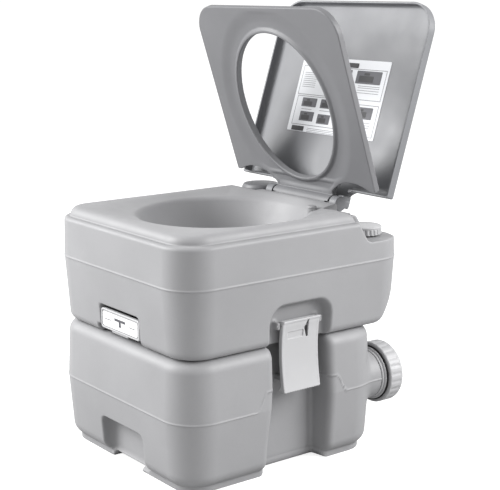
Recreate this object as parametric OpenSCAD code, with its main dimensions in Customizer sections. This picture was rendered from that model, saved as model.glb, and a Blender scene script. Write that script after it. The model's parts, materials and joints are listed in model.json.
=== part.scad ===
// Portable camp toilet: a flush-water tank with bowl, seat and lid, latched onto a waste tank.
// Millimetres, +Z up, front towards -Y. The origin is at floor level, below the middle of the flush tank.

/* [Tanks] */
// Overall width of both tanks
width = 365; // [350:1:380]
// Length of the flush tank
length = 418; // [410:1:430]
// Rear face of the waste tank
waste_rear = 160; // [158:1:162]
// Height of the parting seam between the tanks
seam_z = 195; // [195:1:196]
// Height of the deck
deck_z = 372; // [371:1:373]
// Wall thickness of both tanks
wall = 3; // [2.5:0.1:3.2]
// Corner radius of the tanks
corner_r = 55; // [50:1:58]

/* [Seat and lid] */
// How far the seat stands open
seat_open = 72; // [40:1:90]
// How far the lid stands open
lid_open = 108; // [95:1:110]
// Reach of the seat from the hinge axis
seat_reach = 315; // [300:1:318]
// Reach of the lid from the hinge axis
lid_reach = 325; // [324:1:330]
// Half width of the seat
seat_half = 172; // [165:1:173]
// Half width of the lid
lid_half = 180; // [179:1:184]

/* [Valve and pump] */
// Radius of the bowl outlet
outlet_r = 45; // [40:1:46]
// Radius of the pump knob
knob_r = 32; // [31.5:0.5:33]
// Radius of the fill cap
fill_cap_r = 27; // [25:0.5:28]
// Radius of the spout cap
spout_cap_r = 48; // [45:1:49]

/* [Hidden] */
$fn = 64;

half_w = width / 2;
front_y = -length / 2;
rear_y = length / 2;
gap = 0.3;                        // air between pieces that only face each other
run_fit = 0.05;                   // radial clearance of a turning fit
slab = 0.1;                       // thickness of the slices that shape a shell

// [height, inset] of each slice, lowest first
upper_slices = [[seam_z + 0.4, 16], [203, 8], [214, 5.5], [297.5, 0], [350, 1.5], [358, 10]];
deck_slices = [[356, 12], [367, 13.5], [deck_z - slab, 20]];
upper_hollow_slices = [[seam_z + 4, 17], [214, 9], [297.5, wall], [350, 5], [deck_z - wall - slab, 24]];
waste_ridge_z = 106;               // parting ridge of the waste tank
waste_slices = [[13, 12], [25, 6], [waste_ridge_z, 0], [165, 3], [184, 7], [seam_z - slab, 16]];
waste_hollow_slices = [[16.5, 16], [27, 9], [waste_ridge_z, wall], [165, 6], [182, 10.5], [seam_z - 3.5, 19]];

ridge_z = 297.5;                  // parting ridge, where the deck meets the tank's lower half
pump_low = 258;                   // bottom of the pump barrel
pump_barrel_r = 20.3;

// bowl and dish, as ellipses [half width, half length, centre y, height]
dish_top = [126, 135, -22, deck_z + 0.5];
bowl_top = [110, 120, -20, deck_z - 10];
throat_z = 232;
bowl_floor_z = 216;

// rear shelf, hinge block and their heights
shelf_z = 327;
block_half = 92;
block_z = 350;
deck_rear_y = 139;
shelf_fronts = [[124, 127, 130], [96, 101, 120]];  // of the left and right shelf, at three heights
corner_x = 130;                   // the fill cap and the pump stand this far from the middle
corner_y = 163;

// flushing
nozzle_x = 80;
nozzle_y = 100;
nozzle_r = 7;
nozzle_head_r = 8;
nozzle_z = 352.05;
pipe_y = 158;
pipe_z = 320;
pipe_r = 4;
bellows_z = 347.2;
bellows_step = 2.8;

// hinge
axis_y = 152;
axis_z = 370;
pin_r = 3;
knuckle_r = 8.5;
ear_half = 4;                     // half thickness of the webs below the ears
seat_low = 3.5;                   // underside of the closed seat above the hinge axis
seat_high = 14.5;
seat_rear = 27.5;                 // rear edges of the panels, in front of the axis
seat_tongue = 68;                 // half widths of the tongues
lid_tongue = 87;
lid_rear = 22.5;
lid_wall = 3.5;
tongue_end = 9.5;
cover_in_r = 9.2;                 // the curl of a tongue around the hinge
cover_out_r = 11.5;
lid_low = 4;
lid_face = 17;
lid_high = 20.5;
ear_start = 63;
ear_width = 8;
seat_knuckle = [44, 18];          // start and width along the pin
lid_knuckle = [72, 14];
pin_start = 42;
pin_length = 43;
bracket_screw_x = 20;
bracket_screw_ys = [148, 164];
seat_hole = [110, 120.5, -153];   // half width, half length and middle of the opening

// valve
housing_r = 78;
housing_z = seam_z + 0.2;
housing_top = 212;
blade_z = 200;
blade_t = 3;
blade_half = 50;
blade_end = 56;
notch_half = 57;
notch_back = -172;
notch_top = 243;
handle_y = -198;
handle_half = 48;
handle_low = 205;
handle_high = 236;
strap_half = 16;
housing_screw_angles = [-25, 25, 155, 205];

// latches
arch_half = 59;
arch_top = 258;
arch_round = 30;
channel_half = 62;
channel_x = 153;
recess_x = 161;
latch_x = 171;
latch_z = 224;
latch_half = 34;
latch_low = 124;
latch_high = 231;
latch_pin_r = 2.5;
lug_start = 35.5;
lug_width = 6;
catch_z = 135;

// spout
spout_x = 137;
spout_z = 106;
spout_r = 35;
spout_bore_r = 31;
spout_start = 121;
spout_end = 197;
boss_end = 164;

// vent
vent_x = 40;
vent_z = 150;
vent_r = 11;

// ---------- shared shapes ----------

module rounded_rect(half, y0, y1, r) {
    translate([-half, y0 + r]) square([2 * half, y1 - y0 - 2 * r]);
    translate([-half + r, y0]) square([2 * (half - r), y1 - y0]);
    for (x = [-half + r, half - r], y = [y0 + r, y1 - r])
        translate([x, y]) circle(r, $fn = 32);
}

module slice(z, inset, y1) {
    translate([0, 0, z]) linear_extrude(slab)
        rounded_rect(half_w - inset, front_y + inset, y1 - inset, corner_r - inset * 0.6);
}

// a smooth shell through its slices
module shell(slices, y1) {
    hull() for (s = slices) slice(s[0], s[1], y1);
}

module ellipse_slice(e, grow, z, h = slab) {
    translate([0, e[2], z]) linear_extrude(h)
        polygon([for (a = [0:10:350]) [(e[0] + grow) * cos(a), (e[1] + grow) * sin(a)]]);
}

// the dish in the deck, grown by a wall where it is cut out of a hollow
module dish(grow) {
    hull() {
        ellipse_slice(dish_top, grow, dish_top[3] - grow);
        ellipse_slice(bowl_top, grow, bowl_top[3] - grow);
    }
}

// the bowl below the dish, down to its outlet
module funnel(grow) {
    hull() {
        ellipse_slice(bowl_top, grow, bowl_top[3]);
        translate([0, 0, throat_z]) cylinder(r = outlet_r + grow, h = slab, $fn = 32);
    }
}

// a profile in the YZ plane, spread from x0 to x1
module across(x0, x1, points) {
    translate([x0, 0, 0]) rotate([90, 0, 90]) linear_extrude(x1 - x0) polygon(points);
}

module box(x0, x1, y0, y1, z0, z1) {
    translate([x0, y0, z0]) cube([x1 - x0, y1 - y0, z1 - z0]);
}

module both_sides() {
    children();
    mirror([1, 0, 0]) children();
}

module ring(r_out, r_in, h) {
    difference() {
        cylinder(r = r_out, h = h);
        translate([0, 0, -1]) cylinder(r = r_in, h = h + 2);
    }
}

// a shaft along X, from x0 over a length
module rod_x(r, x0, len) {
    translate([x0, 0, 0]) rotate([0, 90, 0]) cylinder(r = r, h = len);
}

module rod_y(r, len) {
    rotate([-90, 0, 0]) cylinder(r = r, h = len);
}

// ---------- flush tank ----------

// everything cut off at the rear: shelf corners, hinge block and undercut
module rear_cut(grow) {
    for (i = [0, 1]) {
        starts = [-half_w - 20, block_half - grow];
        f = shelf_fronts[i];
        across(starts[i], starts[i] + half_w + 20 - block_half + grow, [
            [f[0] - grow, 420], [f[1] - grow, 356], [f[2] - grow, shelf_z - grow],
            [rear_y + 20, shelf_z - grow], [rear_y + 20, 420]]);
    }
    across(-block_half - 1, block_half + 1, [
        [deck_rear_y - grow, 420], [deck_rear_y - grow, block_z - grow], [181 - grow, block_z - grow],
        [197 - grow, shelf_z - grow], [rear_y + 20, shelf_z - grow], [rear_y + 20, 420]]);
    across(-half_w - 20, half_w + 20, [
        [159 - grow, 150], [159 - grow, seam_z + grow], [168 - grow, 201 + grow], [196 - grow, 234 + grow],
        [206 - grow, 250 + grow], [rear_y + 20, 252 + grow], [rear_y + 20, 150]]);
}

// the valve recess, handle notch and latch arches under and around the flush tank
module under_cut(grow) {
    translate([0, 0, 150]) cylinder(r = housing_r + 2 + grow, h = bowl_floor_z - 150 + grow);
    box(-notch_half - grow, notch_half + grow, front_y - 20, 0, 150, 209 + grow);
    box(-notch_half - grow, notch_half + grow, front_y - 20, notch_back + grow, 150, notch_top + grow);
    both_sides() translate([recess_x - grow, 0, 0]) rotate([90, 0, 90]) linear_extrude(60) {
        translate([-arch_half - grow, 150]) square([2 * (arch_half + grow), arch_top - arch_round - 150]);
        translate([-arch_half + arch_round - grow, 150])
            square([2 * (arch_half - arch_round + grow), arch_top - 150 + grow]);
        for (y = [-arch_half + arch_round - grow, arch_half - arch_round + grow])
            translate([y, arch_top - arch_round + grow]) circle(arch_round);
    }
}

module latch_lugs() {
    both_sides() for (y = [-lug_start - lug_width, lug_start])
        box(recess_x - 2, latch_x + 6, y, y + lug_width, latch_z - 7, latch_z + 7);
}

module flush_outside() {
    difference() {
        union() {
            shell(upper_slices, rear_y);
            shell(deck_slices, rear_y);
        }
        rear_cut(0);
        under_cut(0);
    }
}

module flush_hollow() {
    difference() {
        shell(upper_hollow_slices, rear_y);
        rear_cut(wall);
        under_cut(wall);
        dish(wall);
        translate([corner_x, corner_y, 310]) cylinder(r = 20, h = 60);
        translate([nozzle_x, nozzle_y, 356]) cylinder(r = nozzle_r + 4, h = 20);
    }
}

// the lower half of the flush tank, with the valve recess in its floor
module upper_tank() {
    color([0.76, 0.76, 0.77]) difference() {
        union() {
            intersection() {
                flush_outside();
                box(-half_w - 1, half_w + 1, front_y - 1, rear_y + 1, 150, ridge_z);
            }
            latch_lugs();
        }
        flush_hollow();
        translate([0, 0, 190]) cylinder(r = outlet_r, h = 60);
        both_sides() translate([latch_x, -60, latch_z]) rod_y(latch_pin_r, 120);
    }
}

// the upper half of the flush tank, with the dish, the shelf and the hinge block
module deck() {
    color([0.76, 0.76, 0.77]) difference() {
        union() {
            intersection() {
                flush_outside();
                box(-half_w - 1, half_w + 1, front_y - 1, rear_y + 1, ridge_z, deck_z + 1);
            }
            translate([corner_x, corner_y, shelf_z - 4]) cylinder(r = 20, h = 15);
        }
        flush_hollow();
        dish(0);
        ellipse_slice(bowl_top, 0, bowl_top[3] - 30, 60);
        translate([corner_x, corner_y, 300]) cylinder(r = 17, h = 60);
        translate([-corner_x, corner_y, 300]) cylinder(r = pump_barrel_r + 0.1, h = 60);
        translate([nozzle_x, nozzle_y, 340]) cylinder(r = nozzle_r + run_fit, h = 40);
        translate([nozzle_x, nozzle_y, nozzle_z + 17.8]) cylinder(r = nozzle_head_r + gap, h = 10);
        both_sides() for (y = bracket_screw_ys)
            translate([bracket_screw_x, y, block_z - 20]) cylinder(r = 1.6, h = 40);
    }
}

// the funnel between the dish and the valve
module bowl() {
    color([0.72, 0.72, 0.73]) difference() {
        union() {
            funnel(wall);
            translate([0, 0, bowl_floor_z + wall])
                cylinder(r = outlet_r + wall, h = throat_z - bowl_floor_z - wall);
        }
        funnel(0);
        translate([0, 0, 190]) cylinder(r = outlet_r, h = 60);
        translate([0, 0, bowl_top[3] - wall]) cylinder(r = 200, h = 20);
    }
}

// ---------- waste tank ----------

module channels(grow) {
    both_sides() box(channel_x - grow, half_w + 20, -channel_half - grow, channel_half + grow, -5, 220);
}

module grip_cut(grow) {
    box(-notch_half - grow, notch_half + grow, front_y - 20, -184 + grow, 18 - grow, 66 + grow);
}

// the moulded plinth, open in the middle of the front and the rear
module plinth() {
    difference() {
        linear_extrude(15) rounded_rect(half_w - 17, front_y + 17, waste_rear - 17, corner_r - 10);
        for (y = [front_y - 1, waste_rear - 59]) box(-40, 40, y, y + 60, -1, 13);
    }
}

// the whole waste tank, which its two nodes share out at its parting ridge
module waste_shell() {
    difference() {
        union() {
            difference() {
                union() {
                    shell(waste_slices, waste_rear);
                    plinth();
                    translate([spout_x, spout_start - 12, spout_z]) rod_y(38, boss_end - spout_start + 12);
                }
                channels(0);
                grip_cut(0);
            }
            both_sides() catch_ledge();
            translate([vent_x, waste_rear - 12, vent_z]) rod_y(vent_r + 4, 12);
        }
        difference() {
            shell(waste_hollow_slices, waste_rear);
            channels(wall);
            grip_cut(wall);
            translate([0, 0, seam_z - 14]) cylinder(r = outlet_r + 6, h = 20);
            translate([spout_x, spout_start - 12, spout_z]) rod_y(38, 80);
            translate([vent_x, waste_rear - 14, vent_z]) rod_y(vent_r + 4, 12);
            for (a = housing_screw_angles) rotate(a) translate([64, 0, seam_z - 14]) cylinder(r = 5, h = 20);
        }
        translate([0, 0, seam_z - 20]) cylinder(r = outlet_r, h = 40);
        translate([spout_x, spout_start, spout_z]) rod_y(spout_r, 90);
        translate([spout_x, spout_start - 30, spout_z]) rod_y(spout_bore_r, 90);
        translate([vent_x, waste_rear - 30, vent_z]) rod_y(vent_r, 60);
        for (a = housing_screw_angles) rotate(a) translate([64, 0, seam_z - 11]) cylinder(r = 1.6, h = 20);
    }
}

module waste_tank() {
    color([0.74, 0.74, 0.75]) difference() {
        waste_shell();
        box(-half_w - 1, half_w + 1, front_y - 1, rear_y + 1, -10, waste_ridge_z);
    }
}

module waste_base() {
    color([0.74, 0.74, 0.75]) intersection() {
        waste_shell();
        box(-half_w - 1, half_w + 1, front_y - 1, rear_y + 1, -10, waste_ridge_z);
    }
}

// the ledge that a latch hooks under
module catch_ledge() {
    box(channel_x - 2, latch_x - 0.8, -22, 22, catch_z, catch_z + 8);
}

// ---------- slide valve ----------

module valve_housing() {
    color([0.25, 0.25, 0.27]) difference() {
        translate([0, 0, housing_z]) cylinder(r = housing_r, h = housing_top - housing_z);
        translate([0, 0, 150]) cylinder(r = outlet_r, h = 100);
        box(-blade_half - gap, blade_half + gap, -housing_r - 1, blade_end + gap,
            blade_z - gap, blade_z + blade_t + gap);
        translate([0, 0, blade_z - 3]) ring(outlet_r + 4, outlet_r - 1, 3);
        for (a = housing_screw_angles) rotate(a) translate([64, 0, 190]) {
            cylinder(r = 2.1, h = 40);
            translate([0, 0, housing_top - 4 - 190]) cylinder(r = 4.2, h = 10);
        }
    }
}

module housing_screws() {
    color([0.7, 0.7, 0.72]) for (a = housing_screw_angles) rotate(a) translate([64, 0, 0]) {
        translate([0, 0, seam_z - 9]) cylinder(r = 1.58, h = housing_top - 3.5 - seam_z + 9, $fn = 24);
        translate([0, 0, housing_top - 3.9]) cylinder(r = 4, h = 3, $fn = 24);
    }
}

module bowl_seal() {
    color([0.1, 0.1, 0.1]) translate([0, 0, housing_top + 0.1])
        ring(outlet_r + 8, outlet_r, bowl_floor_z - housing_top - 0.2);
}

module blade_seal() {
    color([0.1, 0.1, 0.1]) translate([0, 0, blade_z - 2.8]) ring(outlet_r + 3.9, outlet_r, 2.6);
}

module valve_blade() {
    color([0.85, 0.85, 0.85]) union() {
        box(-blade_half, blade_half, -blade_end + 2, blade_end, blade_z, blade_z + blade_t);
        box(-strap_half, strap_half, -184, -blade_end + 2, blade_z, blade_z + blade_t);
    }
}

module pull_handle() {
    color([0.72, 0.72, 0.73]) union() {
        across(-handle_half, handle_half, [
            [handle_y, handle_low], [handle_y + 6, handle_low], [handle_y + 6, handle_high],
            [handle_y, handle_high - 1]]);
        box(-strap_half - 6, strap_half + 6, handle_y + 6, -184.2, blade_z, blade_z + 12);
        box(-strap_half - 6, strap_half + 6, handle_y + 1, handle_y + 6, blade_z, handle_low);
    }
}

module handle_label() {
    color([0.93, 0.93, 0.92])
        box(-handle_half + 4, handle_half - 4, handle_y - 0.8, handle_y - 0.05,
            handle_low + 4, handle_high - 5);
}

// ---------- hinge, seat and lid ----------

module hinge_bracket() {
    color([0.3, 0.3, 0.32]) difference() {
        union() {
            box(-88, 88, 142, 172, block_z + 0.05, block_z + 3);
            both_sides() {
                box(ear_start, ear_start + ear_width, axis_y - ear_half, axis_y + ear_half,
                    block_z + 0.05, axis_z);
                translate([0, axis_y, axis_z]) rod_x(8, ear_start, ear_width);
            }
        }
        translate([0, axis_y, axis_z]) rod_x(pin_r + 0.02, -100, 200);
        both_sides() for (y = bracket_screw_ys)
            translate([bracket_screw_x, y, block_z - 5]) cylinder(r = 2.1, h = 20);
    }
}

module bracket_screws() {
    color([0.7, 0.7, 0.72]) both_sides() for (y = bracket_screw_ys) translate([bracket_screw_x, y, 0]) {
        translate([0, 0, block_z - 12]) cylinder(r = 1.58, h = 15.1, $fn = 24);
        translate([0, 0, block_z + 3.05]) cylinder(r = 4, h = 2.4, $fn = 24);
    }
}

module hinge_pins() {
    color([0.75, 0.75, 0.77]) both_sides() translate([0, axis_y, axis_z]) rod_x(pin_r, pin_start, pin_length);
}

// places what is drawn closed, with the hinge axis at the origin, at its open angle
module opened(angle) {
    translate([0, axis_y, axis_z]) rotate([-angle, 0, 0]) children();
}

// a flat closed panel: round front corners and a rear tongue
module panel(half, reach, rear, front_r) {
    difference() {
        rounded_rect(half, -reach, -rear + front_r, front_r);
        translate([-half - 1, -rear]) square([2 * half + 2, front_r * 2 + 2]);
    }
}

// the curl of a tongue around the hinge, seen along the axis
module curl(x0, x1, low, end) {
    across(x0, x1, concat(
        [for (a = [-30:5:end]) [-cover_out_r * cos(a), -cover_out_r * sin(a)]],
        [for (a = [end:-5:-30]) [-cover_in_r * cos(a), -cover_in_r * sin(a)]]));
    across(x0, x1, [[-tongue_end, low + 4], [-cover_out_r, 0], [-14, low], [-20, low + 4]]);
}

module seat_outline() {
    difference() {
        panel(seat_half, seat_reach, seat_rear, 45);
        for (side = [-1, 1]) translate([side * (seat_tongue + 54), 37]) circle(75);
    }
    polygon([
        [-seat_tongue - 10, -30], [-seat_tongue - 1, -22], [-62, -14], [-62, -tongue_end],
        [62, -tongue_end], [62, -14], [seat_tongue + 1, -22], [seat_tongue + 10, -30]]);
}

module seat() {
    color([0.68, 0.68, 0.69]) opened(seat_open) difference() {
        union() {
            translate([0, 0, seat_low]) linear_extrude(seat_high - seat_low) seat_outline();
            curl(-62, 62, seat_low, 110);
            both_sides() {
                rod_x(knuckle_r, seat_knuckle[0], seat_knuckle[1]);
                across(seat_knuckle[0], seat_knuckle[0] + seat_knuckle[1], [
                    [6, 0], [4, seat_high], [-14, seat_high],
                    [-14, seat_low], [-cover_in_r - 1, 0], [-7, 0]]);
            }
        }
        translate([0, seat_hole[2], 0]) linear_extrude(40)
            polygon([for (a = [0:7.5:352.5]) [seat_hole[0] * cos(a), seat_hole[1] * sin(a)]]);
        rod_x(pin_r + run_fit, -100, 200);
    }
}

module lid_outline() {
    panel(lid_half, lid_reach, lid_rear, 48);
    polygon([
        [-lid_tongue - 14, -lid_rear - 1], [-lid_tongue - 4, -lid_rear + 4], [-lid_tongue, -14],
        [-lid_tongue, -tongue_end], [lid_tongue, -tongue_end], [lid_tongue, -14],
        [lid_tongue + 4, -lid_rear + 4], [lid_tongue + 14, -lid_rear - 1]]);
}

module lid() {
    color([0.72, 0.72, 0.73]) opened(lid_open) difference() {
        union() {
            difference() {
                translate([0, 0, lid_low]) linear_extrude(lid_high - lid_low) lid_outline();
                translate([0, 0, lid_low - 1]) linear_extrude(lid_face - lid_low + 1)
                    rounded_rect(lid_half - lid_wall, -lid_reach + lid_wall, 40, 45);
            }
            both_sides() {
                box(lid_tongue + 4, lid_half - 1, -lid_rear - lid_wall, -lid_rear, lid_low, lid_high);
                curl(lid_knuckle[0], lid_tongue, lid_low, 135);
                rod_x(knuckle_r, lid_knuckle[0], lid_knuckle[1]);
                across(lid_knuckle[0], lid_knuckle[0] + lid_knuckle[1], [
                    [8, 0], [8, 12], [2, lid_high], [-24, lid_high], [-24, lid_low],
                    [-13, lid_low], [-cover_in_r - 1, 0], [-8, 0]]);
            }
        }
        rod_x(pin_r + run_fit, -100, 200);
    }
}

module instruction_sheet() {
    color([0.95, 0.95, 0.95]) opened(lid_open) box(-106, 106, -232, -106, lid_face - 0.4, lid_face);
}

// ---------- filling and flushing ----------

module fill_cap() {
    color([0.68, 0.68, 0.69]) translate([corner_x, corner_y, 0]) difference() {
        union() {
            translate([0, 0, 329]) cylinder(r = fill_cap_r - 1, h = 13.5);
            translate([0, 0, 339]) cylinder(r = fill_cap_r, h = 3.5);
            for (a = [0:15:345])
                rotate(a) translate([fill_cap_r - 1.6, 0, 329]) cylinder(r = 1.4, h = 11, $fn = 24);
        }
        translate([0, 0, 320]) cylinder(r = 20 + run_fit, h = 19.8);
    }
}

module fill_cap_seal() {
    color([0.1, 0.1, 0.1]) translate([corner_x, corner_y, 338.2]) ring(19.5, 15, 1.5);
}

module pump_body() {
    color([0.3, 0.3, 0.32]) translate([-corner_x, corner_y, 0]) difference() {
        union() {
            translate([0, 0, shelf_z + 0.05]) cylinder(r = 28, h = 20);
            translate([0, 0, pump_low]) cylinder(r = pump_barrel_r, h = shelf_z - pump_low + 1);
        }
        translate([0, 0, 262]) cylinder(r = 16, h = 78);
        translate([0, 0, 300]) cylinder(r = 5 + run_fit, h = 60);
        translate([0, 0, 250]) cylinder(r = 4, h = 20);
    }
}

module pump_piston() {
    color([0.8, 0.8, 0.8]) translate([-corner_x, corner_y, 0]) union() {
        translate([0, 0, 300]) cylinder(r = 5, h = 69.9);
        translate([0, 0, 296]) cylinder(r = 15.95, h = 8);
    }
}

module pump_knob() {
    color([0.66, 0.66, 0.67]) translate([-corner_x, corner_y, 0]) difference() {
        union() {
            translate([0, 0, 349]) cylinder(r = knob_r, h = 19);
            translate([0, 0, 368]) cylinder(r1 = knob_r, r2 = knob_r - 2, h = 8);
        }
        translate([0, 0, 340]) cylinder(r = 29.5, h = 30);
    }
}

// corrugated return bellows, which folds as the knob goes down
module pump_bellows() {
    color([0.12, 0.12, 0.12]) translate([-corner_x, corner_y, bellows_z]) rotate_extrude()
        polygon(concat(
            [for (i = [0:8]) [i % 2 == 0 ? 17 : 23, i * bellows_step]],
            [for (i = [8:-1:0]) [(i % 2 == 0 ? 17 : 23) - 2, i * bellows_step]]));
}

module suction_tube() {
    color([0.85, 0.85, 0.8]) translate([-corner_x, corner_y, 212]) ring(3.9, 2.6, pump_low + 4 - 212);
}

module flush_pipe() {
    color([0.85, 0.85, 0.8]) union() {
        translate([0, pipe_y, pipe_z]) rod_x(pipe_r, -corner_x + 23.2, nozzle_x + corner_x - 23.2);
        translate([nozzle_x, nozzle_y, pipe_z]) rod_y(pipe_r, pipe_y - nozzle_y);
        translate([nozzle_x, nozzle_y, pipe_z]) cylinder(r = pipe_r, h = nozzle_z - 0.05 - pipe_z);
        for (y = [nozzle_y, pipe_y]) translate([nozzle_x, y, pipe_z]) sphere(r = 4.5, $fn = 32);
    }
}

module flush_nozzle() {
    color([0.75, 0.75, 0.76]) translate([nozzle_x, nozzle_y, nozzle_z]) union() {
        cylinder(r = nozzle_r, h = 18.5);
        translate([0, 0, 17.9]) cylinder(r1 = nozzle_head_r, r2 = nozzle_head_r - 2, h = 2.4);
    }
}

// ---------- latches ----------

module latch() {
    color([0.8, 0.8, 0.8]) difference() {
        union() {
            across_y(-latch_half, latch_half, [
                [latch_x + 4, latch_high], [latch_x + 6, latch_high], [latch_x + 6, 150],
                [latch_x + 9, latch_low], [latch_x + 5.5, latch_low], [latch_x + 2.5, 150],
                [latch_x + 2.5, latch_z]]);
            translate([latch_x, -latch_half, latch_z]) rod_y(6, 2 * latch_half);
            across_y(-20, 20, [
                [latch_x + 7, catch_z - gap], [latch_x - 7, catch_z - gap], [latch_x - 7, catch_z - 5],
                [latch_x - 4, catch_z - 9], [latch_x + 7, catch_z - 9]]);
        }
        translate([latch_x, -80, latch_z]) rod_y(latch_pin_r + run_fit, 160);
    }
}

// a profile in the XZ plane, spread from y0 to y1
module across_y(y0, y1, points) {
    translate([0, y1, 0]) rotate([90, 0, 0]) linear_extrude(y1 - y0) polygon(points);
}

module latch_right() {
    latch();
}

module latch_left() {
    mirror([1, 0, 0]) latch();
}

module latch_pins() {
    color([0.75, 0.75, 0.77]) both_sides()
        translate([latch_x, -lug_start - lug_width, latch_z])
            rod_y(latch_pin_r - 0.02, 2 * (lug_start + lug_width));
}

// ---------- spout and vent ----------

module spout() {
    color([0.72, 0.72, 0.73]) translate([spout_x, spout_start + 0.1, spout_z]) difference() {
        rod_y(spout_r - 0.05, spout_end - spout_start);
        translate([0, -1, 0]) rod_y(spout_bore_r, 100);
    }
}

module ring_y(r_out, r_in, y0, len) {
    translate([spout_x, y0, spout_z]) difference() {
        rod_y(r_out, len);
        translate([0, -1, 0]) rod_y(r_in, len + 2);
    }
}

module spout_collar() {
    color([0.6, 0.6, 0.61]) ring_y(40, spout_r, boss_end + 0.1, 7.8);
}

module spout_seal() {
    color([0.06, 0.06, 0.06]) ring_y(43, spout_r, 172, 4.5);
}

module spout_cap() {
    color([0.62, 0.62, 0.63]) difference() {
        union() {
            translate([spout_x, 176.8, spout_z]) rod_y(spout_cap_r - 1.5, 25.2);
            translate([spout_x, 176.8, spout_z]) for (a = [0:15:345]) rotate([0, a, 0])
                translate([spout_cap_r - 2.5, 0, 0]) rod_y(2.5, 20);
        }
        translate([spout_x, 170, spout_z]) rod_y(spout_r, 29);
    }
}

module spout_cap_seal() {
    color([0.06, 0.06, 0.06]) ring_y(34.5, 28, 197.2, 1.6);
}

module vent_body() {
    color([0.3, 0.3, 0.32]) translate([vent_x, 0, vent_z]) difference() {
        union() {
            translate([0, waste_rear - 14, 0]) rod_y(vent_r - 0.05, 15);
            translate([0, waste_rear + 0.05, 0]) rod_y(vent_r + 3, 3);
        }
        translate([0, waste_rear - 10, 0]) rod_y(7 + run_fit, 30);
        translate([0, waste_rear - 20, 0]) rod_y(3, 30);
    }
}

module vent_button() {
    color([0.7, 0.2, 0.15]) translate([vent_x, waste_rear - 5, vent_z]) rod_y(7, 13);
}

upper_tank();
deck();
bowl();
waste_tank();
waste_base();
valve_housing();
housing_screws();
bowl_seal();
blade_seal();
valve_blade();
pull_handle();
handle_label();
hinge_bracket();
bracket_screws();
hinge_pins();
seat();
lid();
instruction_sheet();
fill_cap();
fill_cap_seal();
pump_body();
pump_knob();
pump_piston();
pump_bellows();
suction_tube();
flush_pipe();
flush_nozzle();
latch_right();
latch_left();
latch_pins();
spout();
spout_collar();
spout_seal();
spout_cap();
spout_cap_seal();
vent_body();
vent_button();
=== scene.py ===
"""Looks of the portable camp toilet.

The moulded pieces are the zero surfaces of fields, which are functions of x, y and z that are negative inside.
Lengths are in millimetres, in the frame of the CAD model, unless a name or comment says otherwise.
"""

import json
import math

import bpy
import numpy as np
from mathutils import Matrix, Vector


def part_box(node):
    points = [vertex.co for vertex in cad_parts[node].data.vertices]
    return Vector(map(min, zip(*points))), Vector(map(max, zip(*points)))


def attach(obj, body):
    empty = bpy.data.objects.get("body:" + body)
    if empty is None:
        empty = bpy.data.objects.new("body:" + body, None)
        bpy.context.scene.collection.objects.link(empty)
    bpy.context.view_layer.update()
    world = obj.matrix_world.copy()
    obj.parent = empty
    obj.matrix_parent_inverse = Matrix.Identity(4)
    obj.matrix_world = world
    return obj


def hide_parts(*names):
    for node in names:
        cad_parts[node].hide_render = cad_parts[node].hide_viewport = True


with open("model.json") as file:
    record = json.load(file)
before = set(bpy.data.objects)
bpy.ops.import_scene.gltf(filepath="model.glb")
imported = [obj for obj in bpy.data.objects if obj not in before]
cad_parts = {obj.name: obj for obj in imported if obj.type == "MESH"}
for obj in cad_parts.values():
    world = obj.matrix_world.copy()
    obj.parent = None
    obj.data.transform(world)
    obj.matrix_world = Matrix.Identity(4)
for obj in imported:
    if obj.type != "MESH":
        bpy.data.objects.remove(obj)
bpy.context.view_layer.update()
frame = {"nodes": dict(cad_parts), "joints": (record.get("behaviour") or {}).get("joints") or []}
MM = 0.001

# ---------- places that come from the frame ----------

JOINTS = {joint["name"]: joint for joint in frame["joints"]}


def node_box(name):
    """Lowest and highest corner of a CAD node, in millimetres."""
    low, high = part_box(name)
    return [v / MM for v in low], [v / MM for v in high]


def joint_place(name):
    """A point on a joint's axis, in millimetres."""
    return [v / MM for v in JOINTS[name]["pos_m"]]


(_, FRONT_Y, SEAM_Z), (HALF_W, REAR_Y, RIDGE_Z) = node_box("upper_tank")
AXIS_Y, AXIS_Z = joint_place("lid_hinge")[1:]
PIVOT_X, _, PIVOT_Z = joint_place("latch_right_swing")
FILL_X, FILL_Y, _ = joint_place("fill_cap_turn")
SPOUT_X, _, SPOUT_Z = joint_place("spout_cap_turn")
SEAT_OPEN, LID_OPEN = 72.0, 108.0  # degrees above the deck, as they stand in the frame

# ---------- fields ----------


def smin(a, b, k):
    """The union of two fields, blended over k."""
    h = np.maximum(k - np.abs(a - b), 0) / k
    return np.minimum(a, b) - h * h * k * 0.25


def smax(a, b, k):
    """The overlap of two fields, blended over k."""
    return -smin(-a, -b, k)


def rmax(a, b, r):
    """The overlap of two fields with an outer edge rounded to radius r."""
    return np.minimum(np.maximum(a, b), -r) + np.hypot(np.maximum(a + r, 0), np.maximum(b + r, 0))


def rounded_rect(x, y, cx, cy, hx, hy, r):
    """Distance to a rectangle with a middle, half sizes and corner radius."""
    qx = np.abs(x - cx) - (hx - r)
    qy = np.abs(y - cy) - (hy - r)
    return np.hypot(np.maximum(qx, 0), np.maximum(qy, 0)) + np.minimum(np.maximum(qx, qy), 0) - r


def box_field(x, y, z, low, high, r):
    """Distance to a box between two corners, with its edges rounded to radius r."""
    q = [np.abs(v - (a + b) / 2) - ((b - a) / 2 - r) for v, a, b in zip((x, y, z), low, high)]
    outer = np.sqrt(sum(np.maximum(v, 0) ** 2 for v in q))
    return outer + np.minimum(np.maximum(np.maximum(q[0], q[1]), q[2]), 0) - r


def step(v, a, b):
    """A smooth rise from 0 at a to 1 at b."""
    t = np.clip((v - a) / (b - a), 0, 1)
    return t * t * (3 - 2 * t)


def bead(distance, height, width):
    """A raised line at distance zero."""
    return height * np.exp(-(distance / width) ** 2)


def spaced(stops):
    """Grid lines through [(place, spacing after it), ..., (end, None)]."""
    lines = []
    for (a, gap), (b, _) in zip(stops, stops[1:]):
        lines += list(np.linspace(a, b, max(1, round((b - a) / gap)), endpoint=False))
    return np.array(lines + [stops[-1][0]])


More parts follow.
